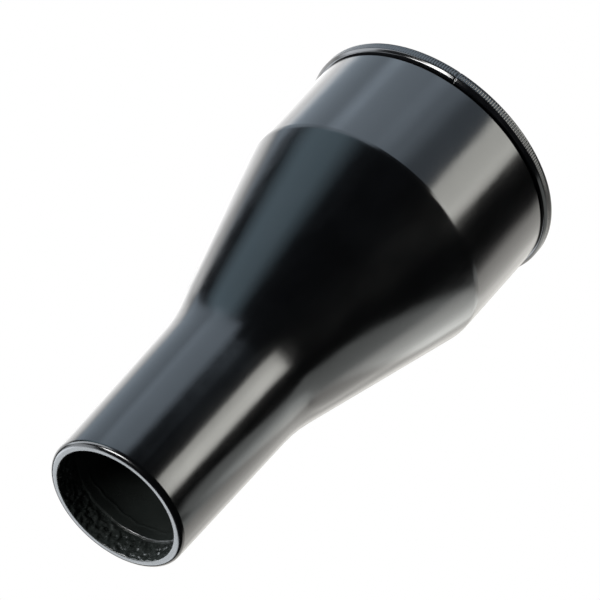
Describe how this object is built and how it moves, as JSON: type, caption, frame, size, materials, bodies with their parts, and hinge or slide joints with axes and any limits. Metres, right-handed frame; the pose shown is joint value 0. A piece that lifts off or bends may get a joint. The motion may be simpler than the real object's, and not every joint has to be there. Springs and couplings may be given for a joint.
{
  "type": "dust blower bulb",
  "caption": "Hollow rubber dust blower bulb with an open outlet neck, cone and barrel, closed by a ribbed screw base that holds an intake valve and filter.",
  "frame": {"origin": "centre of the rim ring's underside, on which the bulb stands", "axes": "+Z along the bulb's axis, from the rim ring to the outlet mouth; +X through one of the collar's keys and one cage screw"},
  "size_m": [0.0514, 0.0514, 0.1015],
  "materials": {
    "bulb_rubber": "semi-gloss moulded",
    "collar_plastic": "matte moulded",
    "rim_plastic": "semi-gloss, finely ribbed",
    "plate_plastic": "matte moulded",
    "gasket_rubber": "matte",
    "clip_steel": "satin spring steel",
    "stem_brass": "turned",
    "valve_silicone": "satin silicone",
    "spring_steel": "bright drawn wire",
    "keeper_steel": "stamped",
    "cage_plastic": "natural nylon",
    "screw_steel": "satin",
    "cover_plastic": "satin moulded",
    "filter_foam": "open-cell foam"
  },
  "bodies": {
    "bulb": {"bulb_shell": "bulb_rubber", "base_collar": "collar_plastic"},
    "base_unit": {"valve_plate": "plate_plastic", "base_gasket": "gasket_rubber", "retaining_clip": "clip_steel", "valve_stem": "stem_brass", "valve_spring": "spring_steel", "spring_keeper": "keeper_steel", "valve_cage": "cage_plastic", "cage_screws": "screw_steel"},
    "ring": {"rim_ring": "rim_plastic"},
    "valve": {"valve_disc": "valve_silicone"},
    "cover": {"filter_cover": "cover_plastic", "filter_pad": "filter_foam"}
  },
  "joints": [
    {"name": "base_travel", "type": "slide", "parent": "bulb", "child": "base_unit", "axis": [0, 0, -1], "range_m": [0, 0.004]},
    {"name": "ring_turn", "type": "hinge", "parent": "base_unit", "child": "ring", "pos_m": [0, 0, 0], "axis": [0, 0, -1], "range_deg": [0, 240]},
    {"name": "valve_lift", "type": "slide", "parent": "base_unit", "child": "valve", "axis": [0, 0, 1], "range_m": [0, 0.0012], "stiffness_N_per_m": 12, "springref_m": -0.001, "deforming": ["valve_spring"]},
    {"name": "cover_pull", "type": "slide", "parent": "base_unit", "child": "cover", "axis": [0, 0, -1], "range_m": [0, 0.0045]}
  ],
  "couplings": [
    {"joint": "ring_turn", "follows": "base_travel", "rad_per_m": 1047.2}
  ]
}
